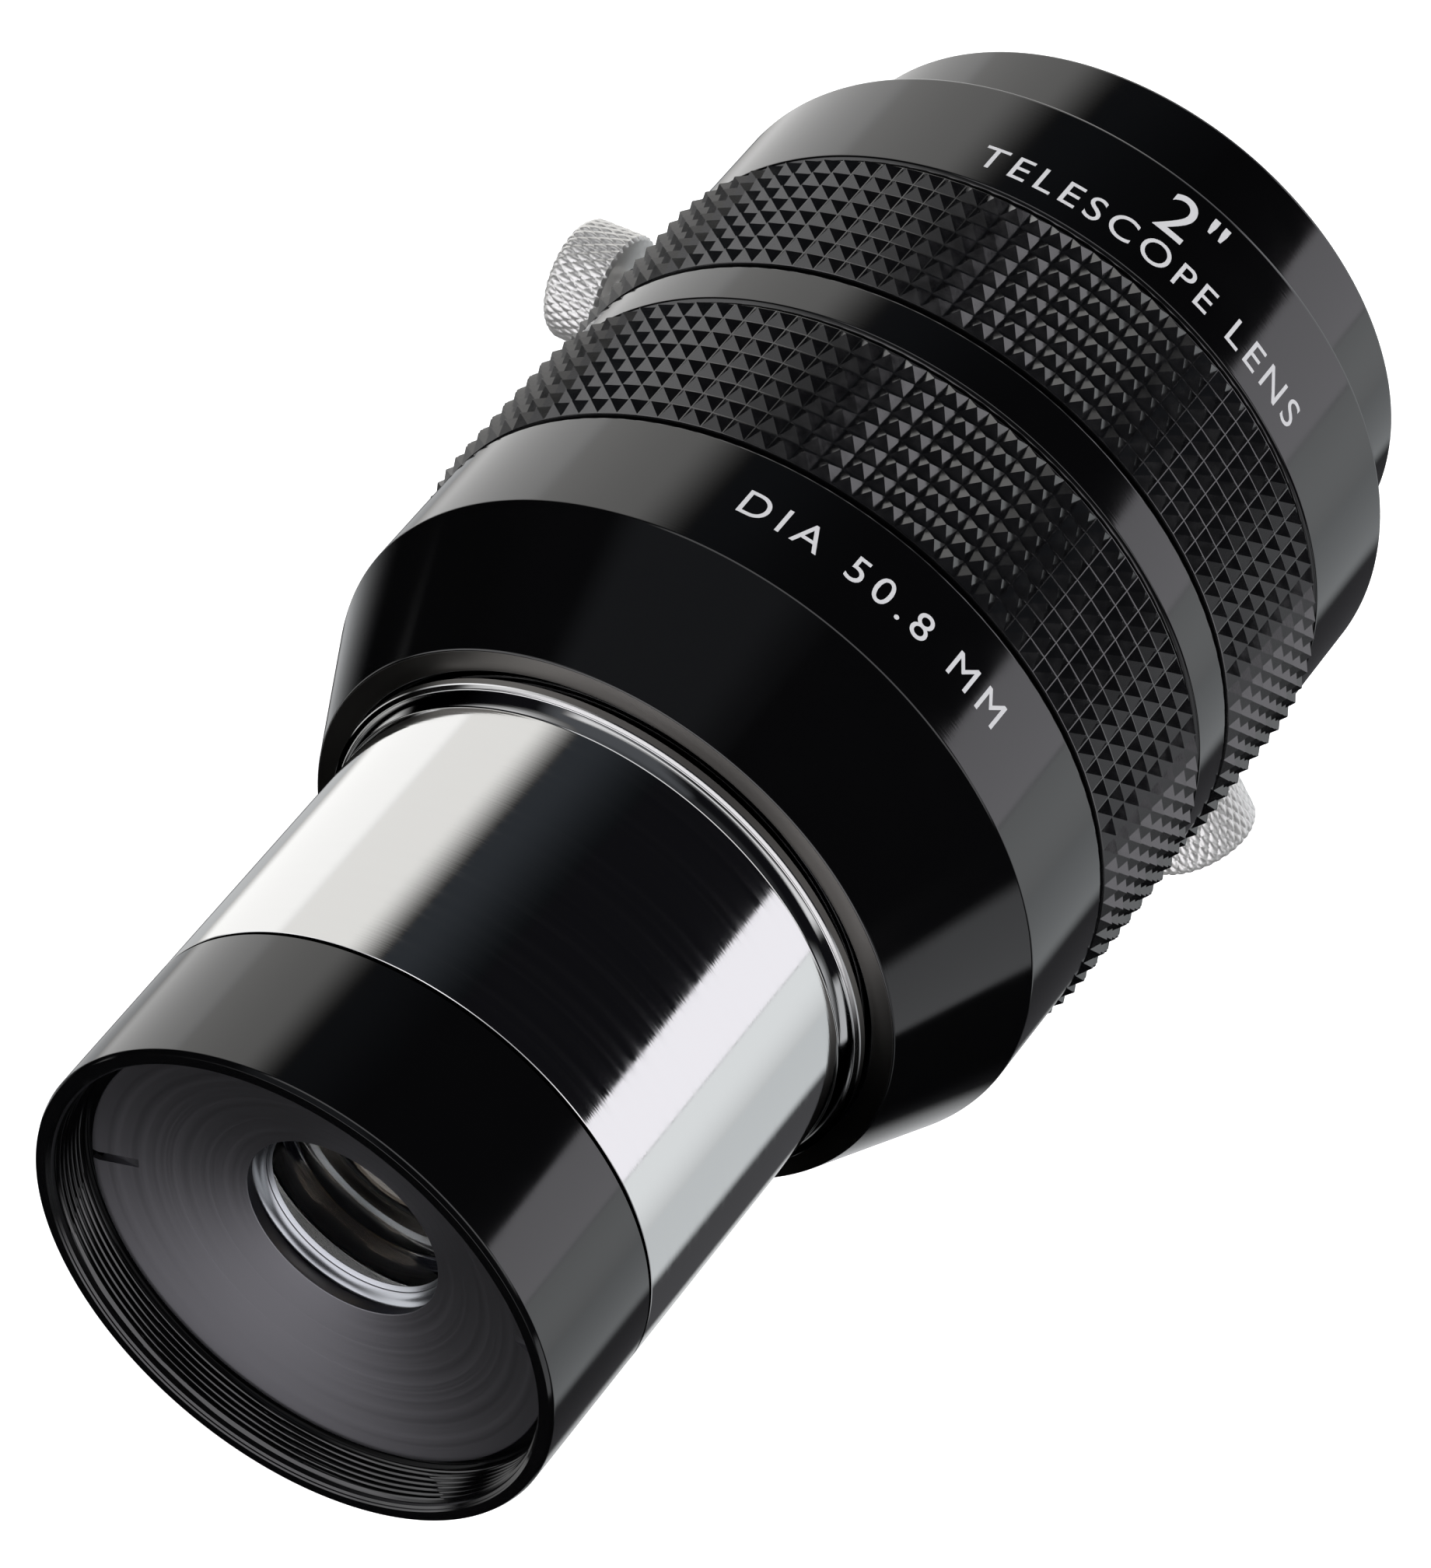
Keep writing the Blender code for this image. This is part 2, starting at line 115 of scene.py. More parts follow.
# Front baffle: its flange, its turned circles as distances from the aperture, and its slots.
BAFFLE_FLANGE = 0.6
BAFFLE_FLANGE_DEPTH = 0.5
BAFFLE_CIRCLES = (6.0, 3.2)
CIRCLE_CUT = ((0.03, 0.0), (0.01, 0.006), (-0.01, 0.006), (-0.03, 0.0))
APERTURE_EDGE = 0.06
APERTURE_LAND = 0.25
APERTURE_FLARE = 0.4
SLOT_LENGTH = 6.8
SLOT_WIDTH = 1.0
SLOT_HEIGHT = 1.6
SLOT_DEPTH = 1.0
SLOT_TURN = math.radians(-120.0)

# Bare edges round the light path. A step is (inwards, to the rear).
LENS_BEVEL = 0.15
RETAINER_BEVEL = 1.3
RETAINER_STEPS = ((0.35, 0.45), (0.38, 0.55), (0.7, 0.85), (0.72, 0.95))
RETAINER_LIP = 0.08
CELL_EDGE_GAP = 0.3
CELL_EDGE_STEPS = ((0.0, 0.0), (0.35, 0.45), (0.4, 0.55), (0.0, 0.6))
GLARE_EDGE = 0.35
GLARE_STEPS = (0.02, 0.2)

# Flange of the nosepiece tube, as (inwards from its rim, ahead of its front).
FLARE_LEAD = 0.15
FLARE_BULGE = -0.07
FLARE_END = (0.6, 0.24)
SHOULDER_START = (0.58, 0.2)
SHOULDER_END = (0.5, 0.12)
SHOULDER_BULGE = -0.02
FLANGE_CORNER = ((0.08, 0.08), (0.0, -0.02))

# Faced ring on the front barrel.
FLANGE_GAP = 0.12
FACE_MARGIN = (0.14, 0.12)
FACE_SUNK = 0.1
FACE_PROUD = 0.03
FACE_EDGE = 0.02

# Grip rings: square pyramids in rows and columns.
GRIP_ROWS = 8
GRIP_COLUMNS = 102
GRIP_DEPTH = 0.8
GRIP_TIP = 0.06
GRIP_LAND = 0.05
GRIP_LIP = 0.12
GRIP_STEP = 0.25

# Eyepiece collar's chamfer and stud holes, and the compression ring's split.
COLLAR_CHAMFER = 0.5
HOLE_CLEARANCE = 0.35
HOLE_INSIDE = 4.0
HOLE_OUTSIDE = 2.0
RING_SPLIT = 3.0

# Thumbscrew studs.
STUD_TIP = 0.6
NECK_LENGTH = 0.9
NECK_STEP = 0.3

# Thumbscrew heads: beads between crossed grooves, and the outline of the knurled skin.
HEAD_COLUMNS = 35
HEAD_ROW = 0.93
HEAD_DEPTH = 0.22
HEAD_ROUND = 1.2
HEAD_FINENESS = 0.14
HEAD_FRONT = ((0.45, 0.0), (0.3, 0.06))
HEAD_TOP = ((0.4, 0.02), (0.6, 0.12))
KNURL_START = 0.3
KNURL_STEPS = 10
BEAD_FLATNESS = 0.45

# Lettering: its height as a share of the font's size, and how it is set into the barrel's skin.
CAP_HEIGHT = 0.73
LETTER_DEPTH = 0.03
LETTER_SUNK = 0.015
LETTER_SLICE = 0.5
LETTER_MERGE = 0.001

# Camera and where it looks, in millimetres.
CAMERA_DISTANCE = 680.7
CAMERA_PITCH = math.radians(53.0)
CAMERA_AZIMUTH = math.radians(4.09)
CAMERA_ROLL = math.radians(45.15)
CAMERA_LENS = 178.57
CAMERA_SENSOR = 36.0
CAMERA_CLIP = 10.0
CAMERA_AIM = -1.15

# Studio, in metres.
FLOOR_HALF = 6.0
FLOOR_GLOW = 0.95
WALL_RADIUS = 5.5
WALL_HEIGHT = 5.0
WALL_FOOT = 0.01
WALL_STEPS = 96
LAMP_SIZE = 1.2
LAMP_HEIGHT = 1.4
LAMP_POWER = 14.0

Reach = namedtuple("Reach", "inner outer front rear")


def optical_axis():
    """Matrix that takes (up, right, along the axis) from the nose rim to the frame."""
    low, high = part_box("nose_ring")
    middle = 0.5 * (low + high)
    return Matrix(
        (
            (0.0, 1.0, 0.0, middle.x),
            (0.0, 0.0, 1.0, low.y),
            (1.0, 0.0, 0.0, middle.z),
            (0.0, 0.0, 0.0, 1.0),
        )
    )


def screw_axis(joint_name):
    """Matrix of a thumbscrew: its Z axis is the joint's axis, and its X axis the optical axis."""
    joint = next(joint for joint in frame["joints"] if joint["name"] == joint_name)
    along = Vector(joint["axis"]).normalized()
    across = Vector((0.0, 1.0, 0.0))
    third = along.cross(across)
    turn = Matrix((across, third, along)).transposed().to_4x4()
    return Matrix.Translation(Vector(joint["pos_m"])) @ turn


AXIS = optical_axis()
SCREWS = {side: screw_axis(f"{side}_screw_turn") for side in ("left", "right")}


def local_points(node, place):
    """A CAD node's vertices in millimetres, seen from one of the axes above."""
    back = place.inverted()
    return [(back @ vertex.co) / MM for vertex in frame["nodes"][node].data.vertices]


def reach(node, place=AXIS):
    """The least and greatest radius and station of a CAD node."""
    points = local_points(node, place)
    radii = [math.hypot(point.x, point.y) for point in points]
    stations = [point.z for point in points]
    return Reach(min(radii), max(radii), min(stations), max(stations))


def joined(segments):
    """The corners of a closed outline, from its straight segments in any order."""
    rest = [segment for segment in segments if math.dist(*segment) > 0.5 * SAME_CORNER]
    corners = list(rest.pop(0))
    while rest:
        end = corners[-1]
        gaps = [min(math.dist(end, segment[0]), math.dist(end, segment[1])) for segment in rest]
        nearest = gaps.index(min(gaps))
        if gaps[nearest] > SAME_CORNER:
            break
        first, last = rest.pop(nearest)
        corners.append(last if math.dist(end, first) < math.dist(end, last) else first)
    return corners[:-1]


def straightened(corners):
    """The outline without the points that lie on its straight sides."""
    kept = []
    for index, corner in enumerate(corners):
        before = corners[index - 1]
        after = corners[(index + 1) % len(corners)]
        run = (after[0] - before[0], after[1] - before[1])
        rise = (corner[0] - before[0], corner[1] - before[1])
        off_line = abs(run[0] * rise[1] - run[1] * rise[0]) / max(math.hypot(*run), LEAST)
        if off_line > STRAIGHT:
            kept.append(corner)
    return kept


def node_outline(node, place=AXIS):
    """The closed outline of a turned CAD node, cut out of its mesh by a half-plane on its side."""
    points = local_points(node, place)
    outside = [point for point in points if math.hypot(point.x, point.y) > OFF_AXIS]
    angles = [math.atan2(point.y, point.x) for point in outside]
    turn = min(angle for angle in angles if angle > 0.5 * math.pi) + TINY
    along = Vector((math.cos(turn), math.sin(turn), 0.0))
    across = Vector((-math.sin(turn), math.cos(turn), 0.0))
    mesh = frame["nodes"][node].data
    mesh.calc_loop_triangles()
    segments = []
    for triangle in mesh.loop_triangles:
        corners = [points[index] for index in triangle.vertices]
        ends = []
        for index in range(3):
            first, second = corners[index - 1], corners[index]
            side, other = across.dot(first), across.dot(second)
            if side * other < 0.0:
                crossing = first.lerp(second, side / (side - other))
                if along.dot(crossing) > 0.0:
                    ends.append((along.dot(crossing), crossing.z))
        if len(ends) == 2 and math.dist(*ends) > TINY:
            segments.append(tuple(ends))
    return straightened(joined(segments))


def softened(corners, size):
    """The closed outline with each corner rounded, at most size back along its sides."""
    share = 0.4
    soft = []
    for index, corner in enumerate(corners):
        before = Vector(corners[index - 1])
        after = Vector(corners[(index + 1) % len(corners)])
        here = Vector(corner)
        back = min(size, share * (before - here).length)
        ahead = min(size, share * (after - here).length)
        start = here + (before - here).normalized() * back
        end = here + (after - here).normalized() * ahead
        for step in range(FILLET_STEPS + 1):
            part = step / FILLET_STEPS
            soft.append(tuple(start.lerp(here, part).lerp(here.lerp(end, part), part)))
    return soft


def arc_between(start, end, bulge, steps=ARC_STEPS):
    """Points from start to end on a shallow arc that stands bulge off its chord."""
    start, end = Vector(start), Vector(end)
    chord = end - start
    side = Vector((-chord.y, chord.x)).normalized()
    points = []
    for step in range(steps + 1):
        part = step / steps
        points.append(tuple(start.lerp(end, part) + side * bulge * (1.0 - (2.0 * part - 1.0) ** 2)))
    return points


def finished(name, mesh, finish, body, nodes):
    """Puts a mesh in the scene as a smooth piece that rides on a body and stands for CAD nodes."""
    work = bmesh.new()
    work.from_mesh(mesh)
    bmesh.ops.remove_doubles(work, verts=work.verts, dist=MERGE * MM)
    bmesh.ops.recalc_face_normals(work, faces=work.faces)
    work.to_mesh(mesh)
    work.free()
    mesh.polygons.foreach_set("use_smooth", [True] * len(mesh.polygons))
    mesh.set_sharp_from_angle(angle=SHARP_ANGLE)
    mesh.materials.append(FINISHES[finish])
    piece = bpy.data.objects.new(name, mesh)
    bpy.context.scene.collection.objects.link(piece)
    weighted = piece.modifiers.new("even_normals", "WEIGHTED_NORMAL")
    weighted.keep_sharp = True
    weighted.weight = NORMAL_WEIGHT
    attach(piece, body)
    if nodes:
        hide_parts(*nodes)
    return piece


def lathed(name, outline, place=AXIS, steps=BARREL_STEPS, shape=None, sweep=None):
    """Mesh of a closed outline turned round an axis, all the way or from one angle to another."""
    outline = np.array(outline)
    whole = sweep is None
    start, end = sweep or (0.0, 2.0 * math.pi)
    angles = np.linspace(start, end, steps, endpoint=not whole)
    radius = np.repeat(outline[:, 0][None, :], steps, axis=0)
    station = np.repeat(outline[:, 1][None, :], steps, axis=0)
    turn = np.repeat(angles[:, None], len(outline), axis=1)
    if shape:
        radius, station = shape(radius, station, turn)
    points = np.stack((radius * np.cos(turn), radius * np.sin(turn), station), axis=-1).reshape(-1, 3) * MM
    rotation = np.array(place.to_3x3())
    points = points @ rotation.T + np.array(place.translation)
    count = len(outline)
    faces = []
    for column in range(steps if whole else steps - 1):
        here = column * count
        there = ((column + 1) % steps) * count
        for row in range(count):
            after = (row + 1) % count
            faces.append((here + row, here + after, there + after, there + row))
    if not whole:
        faces.append(tuple(range(count)))
        faces.append(tuple(range((steps - 1) * count, steps * count)))
    mesh = bpy.data.meshes.new(name)
    mesh.from_pydata(points.tolist(), [], faces)
    return mesh


def turned(name, outline, finish, body="barrel", place=AXIS, nodes=None, **how):
    """A turned piece, which stands for the CAD node of its own name unless nodes says otherwise."""
    mesh = lathed(name, outline, place, **how)
    return finished(name, mesh, finish, body, [name] if nodes is None else nodes)


def plain(name, finish, edge=FINE_EDGE, **how):
    """A piece with its CAD node's own outline and rounded corners."""
    return turned(name, softened(node_outline(name), edge), finish, **how)


def cut_from(piece, cutter):
    """Takes the cutter's space out of a piece for good."""
    boolean = piece.modifiers.new("cut", "BOOLEAN")
    boolean.operation = "DIFFERENCE"
    boolean.solver = "EXACT"
    boolean.object = cutter
    piece.modifiers.move(len(piece.modifiers) - 1, 0)
    weighted = piece.modifiers["even_normals"]
    weighted.show_viewport = False
    bpy.context.view_layer.update()
    shape = piece.evaluated_get(bpy.context.evaluated_depsgraph_get())
    mesh = bpy.data.meshes.new_from_object(shape)
    piece.modifiers.remove(boolean)
    weighted.show_viewport = True
    piece.data = mesh
    mesh.set_sharp_from_angle(angle=SHARP_ANGLE)
    bpy.data.objects.remove(cutter)


def cutter_from(mesh):
    """An object for cut_from, which removes it again."""
    cutter = bpy.data.objects.new("cutter", mesh)
    bpy.context.scene.collection.objects.link(cutter)
    return cutter


def thread_wave(station, turn, pitch):
    """0 at a thread's root to 1 at its crest, along a right-hand helix."""
    phase = np.mod(station / pitch - turn / (2.0 * math.pi), 1.0)
    ramp = 1.0 - np.abs(2.0 * phase - 1.0)
    return np.clip((ramp - THREAD_FLAT) / (1.0 - 2.0 * THREAD_FLAT), 0.0, 1.0)


def rows(start, end, pitch):
    """Stations from start to end, close enough together to draw a thread."""
    count = round(abs(end - start) / pitch * ROWS_PER_PITCH)
    return np.linspace(start, end, count + 1)


def add_nose_ring():
    """Nose ring with a filter thread inside its rim and a spigot that enters the tube."""
    ring = reach("nose_ring")
    corners = node_outline("nose_ring")
    spigot = max(radius for radius, station in corners if station > ring.rear - SAME)
    seam = min(station for radius, station in corners if abs(radius - spigot) < SAME)
    floor = max(station for radius, station in corners if station < reach("front_baffle").rear)
    rim_inner = ring.outer - RIM_WIDTH
    crest = rim_inner - CREST_STEP
    depth = THREAD_DEPTH_SHARE * FILTER_PITCH
    thread_end = floor - THREAD_RUNOUT
    bevel = 0.1
    relief = crest + 0.5 * bevel
    outline = [
        *((rim_inner - inwards, station) for inwards, station in RIM_STEPS),
        *((crest, station) for station in rows(THREAD_START, thread_end, FILTER_PITCH)),
        (relief, thread_end + bevel),
        (relief, floor),
        (ring.inner + bevel, floor),
        (ring.inner, floor + bevel),
        (ring.inner, ring.rear),
        (spigot, ring.rear),
        (spigot, seam),
        (ring.outer - FINE_EDGE, seam),
        (ring.outer, seam - FINE_EDGE),
        *((ring.outer - inwards, station) for inwards, station in RIM_ROUND),
    ]

    def cut_thread(radius, station, turn):
        inside = (np.abs(radius - crest) < TINY) & (station < thread_end + SAME)
        fade = np.clip((thread_end - station) / FILTER_PITCH, 0.0, 1.0)
        groove = depth * fade * (1.0 - thread_wave(station, turn, FILTER_PITCH))
        return radius + np.where(inside, groove, 0.0), station

    turned("nose_ring", outline, "black_anodised", shape=cut_thread)


def add_front_baffle():
    """Conical baffle with fine turned rings round its aperture and two spanner slots."""
    baffle = reach("front_baffle")
    corners = node_outline("front_baffle")
    step = 0.05
    aperture = min(station for radius, station in corners if radius < baffle.inner + step)
    slope = (aperture - baffle.front) / (baffle.outer - baffle.inner)

    def cone(radius):
        return baffle.front + (baffle.outer - radius) * slope

    flange = baffle.outer + BAFFLE_FLANGE
    flange_front = cone(baffle.outer)
    flange_rear = flange_front + BAFFLE_FLANGE_DEPTH
    face = [
        (baffle.outer, flange_rear),
        (flange, flange_rear),
        (flange, flange_front + step),
        (flange - step, flange_front),
        (baffle.outer, flange_front),
    ]
    for distance in BAFFLE_CIRCLES:
        for aside, sunk in CIRCLE_CUT:
            radius = baffle.inner + distance + aside
            face.append((radius, cone(radius) + sunk))
    edge = [
        (baffle.inner + APERTURE_EDGE, cone(baffle.inner + APERTURE_EDGE)),
        (baffle.inner, cone(baffle.inner) + step),
        (baffle.inner, cone(baffle.inner) + APERTURE_LAND),
        (baffle.inner + APERTURE_FLARE, baffle.rear),
    ]
    outline = face + edge + [(baffle.outer, baffle.rear)]
    piece = turned("front_baffle", outline, "turned_black")
    slot_middle = baffle.front + SLOT_DEPTH - 0.5 * SLOT_HEIGHT
    for side in (0.0, math.pi):
        work = bmesh.new()
        bmesh.ops.create_cube(work, size=1.0)
        turn = Matrix.Rotation(side + SLOT_TURN, 4, "Z")
        move = Matrix.Translation((baffle.outer * MM, 0.0, slot_middle * MM))
        size = Matrix.Diagonal((SLOT_LENGTH * MM, SLOT_WIDTH * MM, SLOT_HEIGHT * MM, 1.0))
        bmesh.ops.transform(work, matrix=AXIS @ turn @ move @ size, verts=work.verts)
        mesh = bpy.data.meshes.new("slot")
        work.to_mesh(mesh)
        work.free()
        cut_from(piece, cutter_from(mesh))


def add_lens(name, finish):
    """Smooth spherical lens through its CAD node's edges and middle."""
    points = local_points(name, AXIS)
    edge = max(math.hypot(point.x, point.y) for point in points)
    rim = sorted(point.z for point in points if math.hypot(point.x, point.y) > edge - SAME)
    middle = sorted(point.z for point in points if math.hypot(point.x, point.y) < SAME)
    front, rear = [
        [(edge * part, centre + (outer - centre) * part**2) for part in parts_of(LENS_RINGS)]
        for centre, outer in ((middle[0], rim[0]), (middle[-1], rim[-1]))
    ]
    front[-1] = (edge - LENS_BEVEL, front[-1][1])
    rear[-1] = (edge - LENS_BEVEL, rear[-1][1])
    side = [(edge, front[-1][1] + LENS_BEVEL), (edge, rear[-1][1] - LENS_BEVEL)]
    turned(name, front + side + rear[::-1], finish, steps=LENS_STEPS)


def parts_of(count):
    return [step / count for step in range(count + 1)]


def add_front_retainer():
    """Retainer ring of the front lens, bevelled towards the glass in bare metal."""
    ring = reach("front_lens_retainer")
    bevel_end = ring.inner - RETAINER_BEVEL
    step = 0.05
    outline = [
        (ring.outer, ring.front),
        (ring.inner + 2.0 * step, ring.front),
        (ring.inner - step, ring.front + FINE_EDGE),
        *((ring.inner - part * RETAINER_BEVEL, ring.front + back) for part, back in RETAINER_STEPS),
        (bevel_end, ring.rear - RETAINER_LIP),
        (bevel_end + step, ring.rear),
        (ring.outer, ring.rear),
    ]
    turned("front_lens_retainer", outline, "bare_edge")


def add_inner_edges():
    """Bare turned edges further in, that catch the light behind the front lenses."""
    lip = reach("front_lens_cell").inner
    lenses = [reach(name).rear for name in ("front_crown_lens", "front_flint_lens")]
    start = max(lenses) + CELL_EDGE_GAP
    outline = [(lip - inwards, start + back) for inwards, back in CELL_EDGE_STEPS]
    turned("front_cell_edge", outline, "bare_edge", nodes=[])
    glare = reach("nose_glare_ring")
    wide = glare.inner + GLARE_EDGE
    ahead, behind = glare.front - GLARE_STEPS[0], glare.front + GLARE_STEPS[1]
    outline = [(wide, ahead), (glare.inner, behind), (wide, behind)]
    turned("glare_ring_edge", outline, "bare_edge", nodes=[])


def add_tube():
    """Chromed tube that flares over a rounded shoulder into a thin flange."""
    tube = reach("nosepiece_tube")
    corners = node_outline("nosepiece_tube")
    wall = reach("nose_ring").outer
    flange = [station for radius, station in corners if abs(radius - tube.outer) < SAME]
    flange_front, flange_rear = min(flange), max(flange)
    flare_start = max(station for radius, station in corners if abs(radius - wall) < SAME) - FLARE_LEAD
    step = min(station for radius, station in corners if radius < tube.inner + SAME)
    spigot = max(radius for radius, station in corners if station > tube.rear - SAME)
    wide = min(radius for radius, station in corners if station < tube.front + SAME)
    edge = 0.1

    def on_flange(place):
        inwards, ahead = place
        return tube.outer - inwards, flange_front - ahead

    outline = [
        (wide, tube.front),
        (wall - 0.5 * edge, tube.front),
        (wall, tube.front + 0.5 * edge),
        *arc_between((wall, flare_start), on_flange(FLARE_END), FLARE_BULGE),
        *arc_between(on_flange(SHOULDER_START), on_flange(SHOULDER_END), SHOULDER_BULGE, ARC_STEPS // 2),
        *(on_flange(place) for place in FLANGE_CORNER),
        (tube.outer, flange_rear - edge),
        (tube.outer - edge, flange_rear),
        (spigot, flange_rear),
        (spigot, tube.rear),
        (tube.inner, tube.rear),
        (tube.inner, step),
        (wide, step),
    ]
    turned("nosepiece_tube", outline, "chrome")


def add_front_barrel():
    """Front barrel, with a finely faced ring that closes in on the flange of the tube."""
    corners = node_outline("front_barrel")
    front = reach("front_barrel").front
    pocket = reach("nosepiece_tube").outer + FLANGE_GAP
    face = [radius for radius, station in corners if station < front + SAME]
    closed = []
    for radius, station in corners:
        closed.append((pocket if abs(radius - min(face)) < SAME else radius, station))
    turned("front_barrel", softened(closed, BARREL_EDGE), "black_anodised")
    inner, outer = pocket + FACE_MARGIN[0], max(face) - FACE_MARGIN[1]
    sunk, proud = front + FACE_SUNK, front - FACE_PROUD
    outline = [(inner, sunk), (inner, proud), (outer, proud), (outer, sunk)]
    turned("front_face_ring", softened(outline, FACE_EDGE), "faced_black", nodes=[])


def add_grip(name):
    """Grip ring covered in square pyramids."""
    ring = reach(name)
    tip = AXIS.translation.z / MM
    valley = tip - GRIP_DEPTH
    row_length = (ring.rear - ring.front - 2.0 * GRIP_LIP) / GRIP_ROWS
    column_turn = 2.0 * math.pi / GRIP_COLUMNS
    front = ring.front + GRIP_LIP
    points = []
    faces = []

    def ring_of(radius, station):
        start = len(points)
        for column in range(GRIP_COLUMNS):
            points.append(polar(radius, column * column_turn, station))
        return start

    lines = [ring_of(valley, front + row * row_length) for row in range(GRIP_ROWS + 1)]
    foot = 0.5 * row_length - GRIP_LAND
    foot_turn = 0.5 * column_turn - GRIP_LAND / tip
    squares = ((valley, foot_turn, foot), (tip, 0.5 * GRIP_TIP / tip, 0.5 * GRIP_TIP))
    for row in range(GRIP_ROWS):
        for column in range(GRIP_COLUMNS):
            after = (column + 1) % GRIP_COLUMNS
            near, far = lines[row], lines[row + 1]
            below = [near + column, near + after, far + after, far + column]
            middle = ((column + 0.5) * column_turn, front + (row + 0.5) * row_length)
            for radius, half_turn, half_length in squares:
                above = list(range(len(points), len(points) + 4))
                for turn_side, station_side in ((-1, -1), (1, -1), (1, 1), (-1, 1)):
                    angle = middle[0] + turn_side * half_turn
                    points.append(polar(radius, angle, middle[1] + station_side * half_length))
                for side in range(4):
                    other = (side + 1) % 4
                    faces.append((below[side], below[other], above[other], above[side]))
                below = above
            faces.append(tuple(below))
    closing = [
        ring_of(valley - GRIP_STEP, ring.front),
        ring_of(ring.inner, ring.front),
        ring_of(ring.inner, ring.rear),
        ring_of(valley - GRIP_STEP, ring.rear),
    ]
    loops = [lines[0], *closing, lines[-1]]
    for near, far in zip(loops, loops[1:]):
        for column in range(GRIP_COLUMNS):
            after = (column + 1) % GRIP_COLUMNS
            faces.append((near + column, near + after, far + after, far + column))
    mesh = bpy.data.meshes.new(name)
    mesh.from_pydata([AXIS @ (point * MM) for point in points], [], faces)
    finished(name, mesh, "rubber", "barrel", [name])


def polar(radius, angle, station):
    """The point at a radius and an angle round the axis."""
    return Vector((radius * math.cos(angle), radius * math.sin(angle), station))


def add_collar():
    """Eyepiece collar with well rounded edges and the holes of the two studs."""
    collar = plain("eyepiece_collar", "black_anodised", edge=COLLAR_EDGE)
    start = reach("compression_ring").outer - HOLE_INSIDE
    end = reach("eyepiece_collar").outer + HOLE_OUTSIDE
    for side, place in SCREWS.items():
        hole = reach(f"thumbscrew_{side}_stud", place).outer + HOLE_CLEARANCE
        outline = [(0.0, start), (hole, start), (hole, end), (0.0, end)]
        mesh = lathed("hole", outline, place, steps=HOLE_STEPS)
        work = bmesh.new()
        work.from_mesh(mesh)
        bmesh.ops.remove_doubles(work, verts=work.verts, dist=MERGE * MM)
        bmesh.ops.recalc_face_normals(work, faces=work.faces)
        work.to_mesh(mesh)
        work.free()
        cut_from(collar, cutter_from(mesh))


def add_compression_ring():
    """Split brass ring that the thumbscrews press on."""
    half = 0.5 * RING_SPLIT / reach("compression_ring").outer
    outline = softened(node_outline("compression_ring"), RING_EDGE)
    turned("compression_ring", outline, "brass", sweep=(half, 2.0 * math.pi - half))


def add_stud(side, place):
    """Threaded stud with a plain neck under its head."""
    name = f"thumbscrew_{side}_stud"
    stud = reach(name, place)
    head = reach(f"thumbscrew_{side}_head", place)
    thread_end = head.front - NECK_LENGTH
    neck = stud.outer - NECK_STEP
    depth = THREAD_DEPTH_SHARE * STUD_PITCH
    outline = [
        (0.0, stud.front),
        (stud.outer - STUD_TIP, stud.front),
        *((stud.outer, station) for station in rows(stud.front + STUD_TIP, thread_end, STUD_PITCH)),
        (neck, thread_end + NECK_STEP),
        (neck, head.front - NECK_STEP / 3.0),
        (stud.outer, head.front + 2.0 * NECK_STEP / 3.0),
        (stud.outer, stud.rear),
        (0.0, stud.rear),
    ]

    def cut_thread(radius, station, turn):
        inside = (np.abs(radius - stud.outer) < TINY) & (station < thread_end + SAME)
        groove = depth * (1.0 - thread_wave(station, turn, STUD_PITCH))
        return radius - np.where(inside, groove, 0.0), station

    turned(name, outline, "stainless", f"{side}_stud", place, steps=STUD_STEPS, shape=cut_thread)


def add_head(side, place):
    """Knurled thumbscrew head: round beads left between two crossed sets of grooves."""
    name = f"thumbscrew_{side}_head"
    head = reach(name, place)
    corners = node_outline(name, place)
    front = [radius for radius, station in corners if station < head.front + SAME]
    socket = min(radius for radius in front if radius > OFF_AXIS)
    socket_end = max(station for radius, station in corners if abs(radius - socket) < SAME)
    knurl_start = head.front + KNURL_START
    side_end = head.rear - HEAD_ROUND
    shoulder = head.outer - HEAD_ROUND
    quarter = 0.5 * math.pi
    bends = round(quarter * HEAD_ROUND / HEAD_FINENESS)
    angles = [quarter * part for part in parts_of(bends)]
    outline = [
        (socket, head.front),
        *((head.outer - inwards, head.front + back) for inwards, back in HEAD_FRONT),
        *((head.outer, station) for station in np.arange(knurl_start, side_end, HEAD_FINENESS)),
        *((shoulder + HEAD_ROUND * math.cos(a), side_end + HEAD_ROUND * math.sin(a)) for a in angles),
        *((shoulder - inwards, head.rear - ahead) for inwards, ahead in HEAD_TOP),
        (0.0, head.rear - HEAD_TOP[-1][1]),
        (0.0, socket_end),
        (socket, socket_end),
    ]

    def knurl(radius, station, turn):
        bent = np.arctan2(station - side_end, np.maximum(radius - shoulder, LEAST))
        over = np.clip(bent, 0.0, quarter)
        round_end = side_end - knurl_start + HEAD_ROUND * over
        along = np.where(station < side_end, station - knurl_start, round_end)
        knurled = (station > knurl_start - SAME) & (radius > shoulder - SAME)
        columns = turn * HEAD_COLUMNS / (2.0 * math.pi)
        lines = along / (2.0 * HEAD_ROW)
        waves = np.sin(math.pi * (columns + lines)) * np.sin(math.pi * (columns - lines))
        cut = HEAD_DEPTH * (1.0 - np.abs(waves) ** BEAD_FLATNESS)
        fade = np.clip(1.0 - over / quarter, 0.0, 1.0) ** 0.5
        cut = np.where(knurled, cut * fade, 0.0)
        return radius - cut * np.cos(over), station - cut * np.sin(over)

    steps = HEAD_COLUMNS * KNURL_STEPS
    turned(name, outline, "stainless", f"{side}_head", place, steps=steps, shape=knurl)


